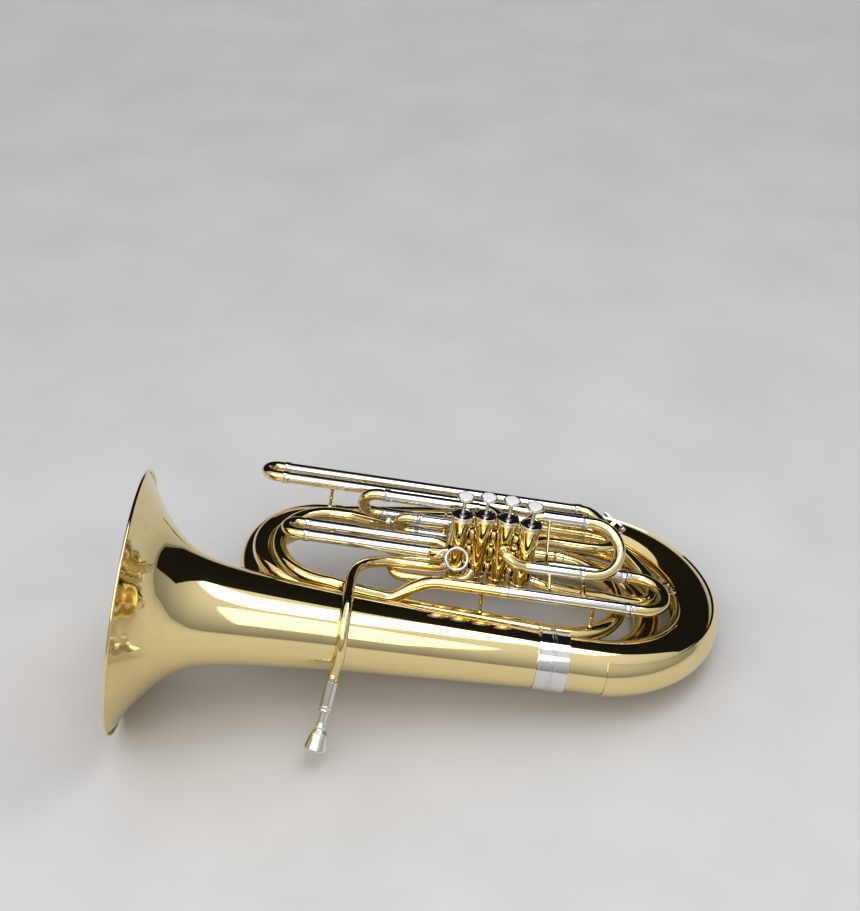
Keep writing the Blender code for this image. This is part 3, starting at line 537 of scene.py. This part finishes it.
def build_valve(index):
    centre, number = valve_centre(index), index + 1
    name = f"valve_{number}"
    low, high = CASING_Z
    step = 0.0009
    wall = [
        (low, CASING_BORE), (low, CASING_R + step), (low + 0.007, CASING_R + step), (low + 0.0078, CASING_R),
        (high - 0.0078, CASING_R), (high - 0.007, CASING_R + step), (high - 0.0006, CASING_R + step),
        (high, CASING_R + step * 0.4), (high, CASING_BORE),
    ]
    meshes = [lathe(wall, centre, Z_AXIS, 72)]
    if index < 3:
        ahead = valve_centre(index + 1) - centre
        gap = ahead.normalized()
        for height in (0.048, 0.079, 0.110):
            start = centre + gap * (CASING_R - 0.001) + Z_AXIS * height
            end = centre + ahead - gap * (CASING_R - 0.0005) + Z_AXIS * height
            run = (end - start).length
            meshes.append(lathe(
                [(0.0, 0.0108), (0.0012, 0.0096), (0.0030, 0.0085), (run - 0.0030, 0.0085),
                    (run - 0.0012, 0.0096),
                 (run, 0.0108)], start, end - start, 32, closed=False))
    piece(name + "_casing_skin", meshes, "brass", HORN, name + "_casing")

    hole, top = STEM_R + 0.0010, high + GAP
    cap = [
        (top, hole), (top, CAP_R - 0.0006), (top + 0.0008, CAP_R), (top + 0.0014, CAP_R),
        (top + 0.0016, CAP_R - 0.0002),
        (top + CAP_HEIGHT - 0.0020, CAP_R - 0.0002), (top + CAP_HEIGHT - 0.0018, CAP_R),
        (top + CAP_HEIGHT - 0.0008, CAP_R), (top + CAP_HEIGHT, CAP_R - 0.0009),
        (top + CAP_HEIGHT - 0.0001, CAP_R - 0.0022),
        (top + CAP_HEIGHT - 0.0012, CAP_R - 0.0030), (top + CAP_HEIGHT - 0.0012, 0.0068),
        (top + CAP_HEIGHT + 0.0006, 0.0062), (top + CAP_HEIGHT + 0.0010, 0.0054),
        (top + CAP_HEIGHT + 0.0010, hole),
    ]
    piece(name + "_top_cap_knurled", knurled(cap, centre, rows=(4, 5)), "polished_nickel", HORN,
        name + "_top_cap")
    foot = low - GAP
    base = rounded([
        (foot - 0.0140, 0.0005), (foot - 0.0142, 0.0030), (foot - 0.0136, 0.0052), (foot - 0.0118, 0.0080),
        (foot - 0.0104, 0.0132), (foot - 0.0085, CAP_R - 0.0012), (foot - 0.0040, CAP_R - 0.0009),
        (foot - 0.0004, CAP_R - 0.0008), (foot, CAP_R - 0.0014),
    ], 4)
    piece(name + "_bottom_cap_turned", lathe(base, centre, Z_AXIS, 72, closed=False), "brass", HORN,
        name + "_bottom_cap")

    piece(
        name + "_stem", [
            lathe([(0.1262, 0.0118), (0.1300, 0.0062), (0.1312, STEM_R), (STEM_TOP, STEM_R)], centre, Z_AXIS,
                40, False),
            lathe([(0.0665, 0.0128), (0.0672, 0.0134), (0.1250, 0.0134), (0.1262, 0.0124)], centre, Z_AXIS,
                64, False),
        ], "monel", name, name + "_piston")
    felt = [(0.1310, STEM_R), (0.1310, 0.0072), (0.1322, 0.0078), (0.1335, 0.0072), (0.1335, STEM_R)]
    piece(name + "_felt", lathe(felt, centre, Z_AXIS, 40), "felt", name)
    under = STEM_TOP + GAP
    button = [
        (under - 0.0016, STEM_R + 0.0002), (under - 0.0006, 0.0046), (under - 0.0002, 0.0095),
        (under, BUTTON_R - 0.0016), (under + 0.0005, BUTTON_R - 0.0005), (under + 0.0012, BUTTON_R),
        (under + 0.0042, BUTTON_R), (under + 0.0048, BUTTON_R - 0.0003), (under + 0.0052, BUTTON_R - 0.0009),
        (under + 0.0050, BUTTON_R - 0.0017), (under + 0.0044, BUTTON_R - 0.0021),
        (under + 0.0030, PEARL_R - 0.0001),
        (under + 0.0028, STEM_R),
    ]
    piece(name + "_button_turned", lathe(button, centre, Z_AXIS, 72), "polished_nickel", name,
        name + "_finger_button")
    pearl = [(under + 0.0030, PEARL_R - 0.0004), (under + 0.0050, PEARL_R - 0.0004),
        (under + 0.0056, PEARL_R - 0.0010),
             (under + 0.0060, PEARL_R - 0.0024), (under + 0.0062, PEARL_R - 0.0045), (under + 0.0062, 0.0004)]
    piece(name + "_pearl_disc", lathe(pearl, centre, Z_AXIS, 64, closed=False), "pearl", name,
        name + "_pearl")


def build_spring(index):
    """The return spring under a piston, built at its full length, with a mesh of its own."""
    name, centre = f"valve_{index + 1}", valve_centre(index)
    foot, top, turns, coil_r, wire_r = 0.029, 0.0642, 5, 0.0100, 0.0009
    path = [
        centre + Vector((coil_r * math.cos(a), coil_r * math.sin(a),
            foot + (top - foot) * a / (2 * math.pi * turns)))
        for a in (2 * math.pi * k / 32 for k in range(32 * turns + 1))
    ]
    spring = piece(name + "_coil", tube(path, wire_r, 12), "steel", HORN, name + "_spring")
    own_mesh(spring)


# ---------------------------------------------------------------- slides
def sleeve(leg, tail, mouth, radius):
    """An outer slide tube with a beaded ferrule at the mouth and a plain band at the valve end."""
    sign = 1 if mouth < tail else -1
    outline = [
        (0.0, radius - WALL), (0.0, radius + 0.0010), (0.0006, radius + 0.0015), (0.0018, radius + 0.0015),
        (0.0024, radius + 0.0011), (0.0080, radius + 0.0011), (0.0086, radius + 0.0015),
        (0.0096, radius + 0.0015),
        (0.0102, radius), (abs(tail - mouth) - 0.0052, radius), (abs(tail - mouth) - 0.0048, radius + 0.0006),
        (abs(tail - mouth) - 0.0002, radius + 0.0006), (abs(tail - mouth), radius + 0.0001),
        (abs(tail - mouth), radius - WALL),
    ]
    return lathe(outline, (mouth, *leg), X_AXIS * sign, 48)


def build_slide(name, near, far, tails, mouth, bend_x, insert, brace, radius=SLIDE_R, elbows=()):
    """One slide: two outer tubes with their brace and elbows, and the crook whose legs draw out of them.

    Near and far are the legs' (y, z). Tails and mouth are where the outer tubes end, along X.
    """
    bore = radius - WALL
    outward = X_AXIS if bend_x > mouth else -X_AXIS
    across = Vector((0, far[0] - near[0], far[1] - near[1])).normalized()
    a, b = Vector((brace, *near)) + across * radius * STAY_SEAT, Vector((brace,
        *far)) - across * radius * STAY_SEAT
    sleeves = [sleeve(near, tails[0], mouth, radius), sleeve(far, tails[1], mouth, radius)]
    piece(name + "_sleeves", sleeves, "nickel", HORN, name + "_tubes")
    piece(name + "_brace", stay(a, b), "brass", HORN)
    if elbows:
        bends = []
        for elbow in elbows:
            path = smooth(elbow, 8)
            bends.append(tube(path, radius - 0.0005, 40))
            bends.append(lathe(
                [(0.0, radius - 0.0010), (0.0002, radius + 0.0016), (0.0014, radius + 0.0008),
                    (0.0030, radius - 0.0004)],
                path[-1], path[-2] - path[-1], 40, closed=False))
        piece(name + "_elbows", bends, "brass", HORN)

    leg = bore - 0.0002  # the inner leg's radius, a sliding fit in the bore
    inner, start = mouth - outward.x * insert, mouth + outward.x * 0.0006
    bend_start, bend_end = Vector((bend_x, *near)), Vector((bend_x, *far))
    bow = [Vector((start, *near))] + arc(bend_start, bend_end, outward, 48) + [Vector((start, *far))]
    piece(name + "_bow", tube(bow, radius, 48), "brass", name, name + "_crook")
    legs = [
        tube([Vector((inner, *spot)), Vector((start + outward.x * 0.0005, *spot))], leg, 40,
            bore=(leg - 0.001,) * 2)
        for spot in (near, far)
    ]
    piece(name + "_inner_legs", legs, "nickel", name)
    ferrule = 0.0090
    if abs(bend_x - start) > ferrule:
        rings = [
            band([Vector((start, *spot)), Vector((start + outward.x * ferrule, *spot))], 0.0, ferrule, radius,
                0.0012, 48)
            for spot in (near, far)
        ]
        piece(name + "_bow_ferrules", rings, "nickel", name)


def build_slides():
    build_slide(
        "main_slide", *MAIN_LEGS, (0.577, 0.650), 0.770, MAIN_BEND_X, radius=MAIN_R, insert=0.090,
        brace=0.700,
        elbows=[[(0.652, *MAIN_LEGS[1]), (0.634, 0.168, 0.056), (0.6140, 0.1588, 0.056)]],
    )
    build_slide(
        "first_slide", (0.132, 0.077), (0.172, 0.070), (0.444, 0.452), 0.245, 0.238, insert=0.085,
        brace=0.290,
        elbows=[[(0.442, 0.132, 0.077), (0.458, 0.134, 0.077), (0.4740, 0.1385, 0.077)],
                [(0.450, 0.172, 0.070), (0.463, 0.171, 0.070), (0.4775, 0.1625, 0.070)]],
    )
    build_slide(
        "second_slide", (0.206, 0.061), (0.200, 0.090), (0.492, 0.492), 0.424, 0.408, radius=0.0080,
        insert=0.040, brace=0.470,
        elbows=[[(0.490, 0.206, 0.061), (0.508, 0.203, 0.061), (0.522, 0.190, 0.061),
            (0.5257, 0.1747, 0.061)],
                [(0.490, 0.200, 0.090), (0.508, 0.198, 0.090), (0.522, 0.187, 0.090),
                    (0.5257, 0.1747, 0.090)]],
    )
    grip = [(0.0, 0.0052), (0.0010, 0.0036), (0.0058, 0.0030), (0.0068, 0.0078), (0.0080, 0.0094),
        (0.0095, 0.0099),
            (0.0130, 0.0099), (0.0144, 0.0092), (0.0151, 0.0074), (0.0152, 0.0040), (0.0148, 0.0004)]
    piece("second_slide_knob", lathe(grip, (0.3885, 0.203, 0.0755), -X_AXIS, 48, closed=False),
        "polished_nickel",
          "second_slide")
    build_slide(
        "third_upper_slide", (0.235, 0.068), (0.225, 0.110), (0.520, 0.520), 0.364, 0.355, insert=0.075,
        brace=0.470,
        elbows=[[(0.518, 0.235, 0.068), (0.540, 0.232, 0.068), (0.557, 0.212, 0.068),
            (0.5623, 0.1747, 0.068)],
                [(0.518, 0.225, 0.110), (0.540, 0.222, 0.110), (0.557, 0.205, 0.109),
                    (0.5623, 0.1747, 0.108)]],
    )
    build_slide(
        "third_lower_slide", *THIRD_LEGS, (0.605, 0.622), 0.696, THIRD_BEND_X, insert=0.055, brace=0.633,
        elbows=[[(0.607, *THIRD_LEGS[0]), (0.598, 0.124, 0.081), (0.583, 0.1225, 0.085),
            (0.569, 0.1285, 0.092),
                 (0.5645, 0.1405, 0.094)],
                [(0.624, *THIRD_LEGS[1]), (0.611, 0.199, 0.127), (0.601, 0.192, 0.118), (0.599, 0.180, 0.114),
                 (0.599, 0.1685, 0.114)]],
    )
    build_slide("fourth_slide", (0.312, 0.060), (0.352, 0.052), (0.694, 0.694), 0.195, 0.187, insert=0.140,
        brace=0.330)


def build_valve_tubing():
    runs = {
        "fourth_loop": (
            [(0.694, 0.352, 0.052), (0.704, 0.352, 0.052), (0.724, 0.347, 0.051), (0.744, 0.325, 0.047),
             (0.768, 0.288, 0.034), (0.801, 0.246, 0.028), (0.822, 0.205, 0.025), (0.816, 0.160, 0.026),
             (0.785, 0.136, 0.031), (0.740, 0.132, 0.036), (0.650, 0.132, 0.043), (0.6150, 0.1385, 0.046)],
             0.0100),
        "fourth_return": (
            [(0.694, 0.312, 0.060), (0.704, 0.312, 0.060), (0.728, 0.308, 0.060), (0.748, 0.297, 0.060),
             (0.760, 0.271, 0.060), (0.750, 0.244, 0.060), (0.722, 0.231, 0.060), (0.655, 0.230, 0.060),
             (0.625, 0.222, 0.064), (0.605, 0.200, 0.072), (0.599, 0.1680, 0.074)], 0.0092),
        "first_valve_loop": (
            [(0.4716, 0.158, 0.043), (0.462, 0.156, 0.043), (0.430, 0.153, 0.043), (0.411, 0.151, 0.042),
             (0.396, 0.146, 0.040), (0.3900, 0.135, 0.037), (0.397, 0.123, 0.034), (0.413, 0.118, 0.033),
             (0.450, 0.118, 0.033), (0.488, 0.119, 0.034), (0.509, 0.127, 0.038), (0.5190, 0.1404, 0.043)],
             0.0078),
    }
    rings = []
    for name, (points, radius) in runs.items():
        path = [Vector(points[0])] + smooth(points[1:], 8)
        piece(name + "_skin", tube(path, radius, 48), "brass", HORN, name)
        rings.append(band(path, -0.0075, -0.0003, radius, 0.0010, 48))
        if name != "first_valve_loop":
            rings.append(band(path, 0.0004, 0.0120, radius, 0.0012, 48))
    piece("valve_tubing_ferrules", rings, "nickel", HORN)


# ---------------------------------------------------------------- leadpipe and mouthpiece
RECEIVER_END = Vector((0.318, -0.096, -0.080))
RECEIVER_AXIS = Vector((-0.10, -0.45, -0.89)).normalized()
RECEIVER_LENGTH, MOUTHPIECE_DEPTH, MOUTHPIECE_LENGTH = 0.048, 0.026, 0.086
LEADPIPE_X = 0.328


def around_bell(degrees):
    """A point of the leadpipe's wrap round the bell."""
    reach, angle = bell_radius(LEADPIPE_X) + 0.0115, math.radians(degrees)
    return LEADPIPE_X, reach * math.cos(angle), reach * math.sin(angle)


def build_leadpipe():
    start = RECEIVER_END - RECEIVER_AXIS * (RECEIVER_LENGTH + GAP)
    route = [
        (0.4785, 0.1385, 0.052), (0.462, 0.130, 0.052), (0.420, 0.127, 0.052), (0.378, 0.122, 0.054),
        (0.345, 0.098, 0.060), (0.331, 0.062, 0.067), around_bell(76), around_bell(100), around_bell(125),
        around_bell(150), around_bell(175), start - RECEIVER_AXIS * 0.014, start - RECEIVER_AXIS * 0.004,
        start,
    ]
    path = smooth(route, 8)
    piece("leadpipe_skin", tube(path, [(0.0, 0.0095), (lengths(path)[-1], 0.0075)], 48), "brass", HORN,
        "leadpipe")
    piece("leadpipe_ferrule", band(path, 0.0008, 0.0120, 0.0094, 0.0011, 48), "nickel", HORN)
    cup = [
        (-RECEIVER_LENGTH, 0.0064), (-RECEIVER_LENGTH, 0.0084), (-RECEIVER_LENGTH + 0.0008, 0.0092),
        (-0.0100, 0.0092), (-0.0094, 0.0102), (-0.0080, 0.0106), (-0.0066, 0.0102), (-0.0056, 0.0098),
        (-0.0030, 0.0100), (-0.0022, 0.0106), (-0.0006, 0.0106), (0.0, 0.0100), (0.0, 0.0064),
    ]
    piece("receiver_turned", lathe(cup, RECEIVER_END, RECEIVER_AXIS, 64), "polished_nickel", HORN,
          "mouthpiece_receiver")
    out = MOUTHPIECE_LENGTH - MOUTHPIECE_DEPTH
    shape = rounded([
        (0.0006, 0.0062), (0.010, 0.0066), (0.018, 0.0070), (0.0225, 0.0080), (0.0240, 0.0086),
        (0.0255, 0.0082),
        (0.0285, 0.0078), (out - 0.026, 0.0120), (out - 0.018, 0.0148), (out - 0.010, 0.0167),
        (out - 0.004, 0.0181),
        (out - 0.0016, 0.0184), (out - 0.0002, 0.0178), (out, 0.0170), (out - 0.0012, 0.0162),
        (out - 0.006, 0.0156),
        (out - 0.012, 0.0144), (out - 0.019, 0.0112), (out - 0.025, 0.0066), (out - 0.029, 0.0042),
    ], 5)
    shape = [(-MOUTHPIECE_DEPTH, 0.0042), (-MOUTHPIECE_DEPTH, 0.0060)] + shape
    piece("mouthpiece_turned", lathe(shape, RECEIVER_END, RECEIVER_AXIS, 80), "silver", "mouthpiece",
        "mouthpiece")


# ---------------------------------------------------------------- small fittings
KEY_ARM, KEY_HEIGHT = 0.017, 0.0085


def key_seat(bend_x, near, far, angle, radius):
    """The seat of a water key on the outside of a crook, and the axes along, across and out of it."""
    arm = (Vector((bend_x, *near)) - Vector((bend_x, *far))) / 2
    middle = (Vector((bend_x, *near)) + Vector((bend_x, *far))) / 2
    out = (arm.normalized() * math.cos(angle) + X_AXIS * math.sin(angle)).normalized()
    along = (-arm.normalized() * math.sin(angle) + X_AXIS * math.cos(angle)).normalized()
    return middle + out * (arm.length + radius), Matrix((along, out.cross(along), out)).transposed()


def build_water_key(number, slide, seat, turn):
    name = f"water_key_{number}"

    def spot(along, across, out):
        return seat + turn @ Vector((along, across, out))

    saddle = [slab(spot(0, 0.0056 * s, 0.0040), (0.006, 0.0015, 0.0125), turn, 0.0006) for s in (-1, 1)]
    saddle.append(lathe([(0.0, 0.0042), (0.0040, 0.0038), (0.0050, 0.0034), (0.0060, 0.0030),
        (0.0060, 0.0016)],
                        spot(-KEY_ARM, 0, -0.004), turn.col[2], 32, closed=False))
    piece(name + "_saddle", saddle, "brass", slide)
    lever = [
        rod(spot(0, -0.0044, KEY_HEIGHT), spot(0, 0.0044, KEY_HEIGHT), 0.0022, 28),
        slab(spot(0.0, 0, KEY_HEIGHT + 0.0013), (2 * KEY_ARM, 0.0042, 0.0017), turn, 0.0007),
        slab(spot(KEY_ARM, 0, KEY_HEIGHT + 0.0015), (0.0095, 0.0085, 0.0019), turn, 0.0008),
        lathe([(0.0, 0.0049), (0.0042, 0.0049), (0.0052, 0.0045), (0.0060, 0.0030), (0.0062, 0.0006)],
              spot(-KEY_ARM, 0, 0.0042), turn.col[2], 40, closed=False),
    ]
    piece(name + "_lever", lever, "polished_nickel", name, name)
    piece(name + "_screw", rod(spot(0, -0.0072, KEY_HEIGHT), spot(0, 0.0072, KEY_HEIGHT), 0.0012, 20),
        "steel", slide)
    pad = [(0.0023, 0.0005), (0.0023, 0.0040), (0.0028, 0.0045), (0.0046, 0.0045)]
    piece(name + "_cork", lathe(pad, spot(-KEY_ARM, 0, 0), turn.col[2], 32, closed=False), "cork", name)


def build_thumb_ring():
    centre, wire = Vector((0.489, 0.106, 0.090)), 0.0026
    axis = Vector((0.05, -0.80, 0.60)).normalized()
    hoop = [(wire * math.sin(a),
        0.0170 + wire * math.cos(a)) for a in (2 * math.pi * k / 20 for k in range(20))]
    u = (X_AXIS - axis * X_AXIS.dot(axis)).normalized()
    meshes = [
        lathe(hoop, centre, axis, 72),
        slab(Vector((0.4575, 0.1192, 0.077)), (0.019, 0.0016, 0.034), bevel=0.0006),
        stay(centre - u * 0.0168, Vector((0.4600, 0.1190, 0.084)), 0.0022),
    ]
    piece("thumb_ring_hoop", meshes, "polished_nickel", HORN, "thumb_ring")


def build_posts():
    """Braces from a slide tube down to the bow below it."""
    posts = [
        (MAIN_R, (0.714, *MAIN_LEGS[0]), (0.716, 0.0835, 0.0132)),
        (MAIN_R, (0.535, *MAIN_LEGS[0]), (0.538, 0.0765, 0.0155)),
        (SLIDE_R, (0.640, *THIRD_LEGS[0]), (0.641, 0.0938, 0.0621)),
        (SLIDE_R, (0.280, 0.312, 0.060), (0.280, 0.3125, 0.0135)),
    ]
    meshes = []
    for radius, axis_point, end in posts:
        axis_point, end = Vector(axis_point), Vector(end)
        meshes.append(stay(axis_point + (end - axis_point).normalized() * radius * STAY_SEAT, end, 0.0029))
    piece("brace_posts", meshes, "brass", HORN)


# ---------------------------------------------------------------- the stage
def dark_card(name, location, target, size, shade):
    """A large dark card out of the camera's sight, for the metal to reflect."""
    made = bpy.data.materials.new(name + "_cloth")
    made.use_nodes = True
    shader = made.node_tree.nodes["Principled BSDF"]
    shader.inputs["Base Color"].default_value = (shade, shade, shade, 1)
    shader.inputs["Roughness"].default_value = 1.0
    mesh = bmesh.new()
    bmesh.ops.create_grid(mesh, x_segments=1, y_segments=1, size=0.5)
    data = bpy.data.meshes.new(name)
    mesh.to_mesh(data)
    mesh.free()
    data.materials.append(made)
    card = bpy.data.objects.new(name, data)
    card.location = location
    card.scale = (*size, 1)
    card.rotation_euler = (Vector(location) - Vector(target)).to_track_quat("Z", "Y").to_euler()
    card.visible_camera = False
    card.visible_shadow = False
    card.visible_diffuse = False
    bpy.context.scene.collection.objects.link(card)


def area_light(name, location, target, size, power, colour):
    data = bpy.data.lights.new(name, "AREA")
    data.shape = "RECTANGLE"
    data.size, data.size_y = size
    data.energy = power
    data.color = colour
    light = bpy.data.objects.new(name, data)
    light.location = location
    light.rotation_euler = (Vector(location) - Vector(target)).to_track_quat("Z", "Y").to_euler()
    light.visible_camera = False
    bpy.context.scene.collection.objects.link(light)


def build_stage():
    floor_mesh = bmesh.new()
    bmesh.ops.create_grid(floor_mesh, x_segments=1, y_segments=1, size=6.0)
    data = bpy.data.meshes.new("floor")
    floor_mesh.to_mesh(data)
    floor_mesh.free()
    data.materials.append(matt_material("floor_paper", (0.62, 0.61, 0.60), (0.66, 0.65, 0.64), 0.85, 4.0))
    floor = bpy.data.objects.new("floor", data)
    floor.location.z = -0.0005
    bpy.context.scene.collection.objects.link(floor)

    world = bpy.data.worlds.new("studio")
    world.use_nodes = True
    sky = world.node_tree
    sky.nodes["Background"].inputs["Color"].default_value = (0.95, 0.96, 1.0, 1)
    where = node_of(sky, "ShaderNodeTexCoord")
    parts = node_of(sky, "ShaderNodeSeparateXYZ")
    glow = node_of(sky, "ShaderNodeMapRange")
    for key, value in {"From Min": -0.05, "From Max": 0.95, "To Min": 0.24, "To Max": 0.78}.items():
        glow.inputs[key].default_value = value
    sky.links.new(where.outputs["Generated"], parts.inputs["Vector"])
    sky.links.new(parts.outputs["Z"], glow.inputs["Value"])
    sky.links.new(glow.outputs["Result"], sky.nodes["Background"].inputs["Strength"])
    bpy.context.scene.world = world
    area_light("key_light", (-0.9, -2.2, 2.6), (0, 0.05, 0.15), (4.4, 2.4), 36, (1.0, 0.97, 0.92))
    area_light("top_light", (0.6, -0.3, 2.6), (0, 0.05, 0.15), (2.6, 0.7), 12, (0.96, 0.98, 1.0))
    dark_card("dark_card_back", (0.0, 1.75, 1.50), (0, 0.1, 0.15), (12.0, 3.1), 0.012)

    camera = bpy.data.objects.new("camera", bpy.data.cameras.new("camera"))
    camera.data.lens = 63.227  # fitted with the matrix below, so that the horn lies as in the photo
    camera.data.sensor_width = 36
    camera.matrix_world = Matrix((
        (0.999128, -0.026158, 0.032543, 0.08403),
        (0.041702, 0.586607, -0.808798, -1.91872),
        (0.002067, 0.809449, 0.587186, 1.81860),
        (0, 0, 0, 1),
    ))
    bpy.context.scene.collection.objects.link(camera)
    bpy.context.scene.camera = camera
    bpy.context.scene.view_settings.view_transform = "Standard"
    bpy.context.scene.view_settings.look = "Medium High Contrast"


build_bell()
build_bows()
for valve in range(4):
    build_valve(valve)
    build_spring(valve)
build_slides()
build_valve_tubing()
build_leadpipe()
build_thumb_ring()
for key, slide_name, legs, bend, degrees, tube_r in (
    (1, "third_lower_slide", THIRD_LEGS, THIRD_BEND_X, 148, SLIDE_R),
    (2, "main_slide", MAIN_LEGS, MAIN_BEND_X, 124, MAIN_R),
):
    build_water_key(key, slide_name, *key_seat(bend, *legs, math.radians(degrees), tube_r))
build_posts()
build_stage()
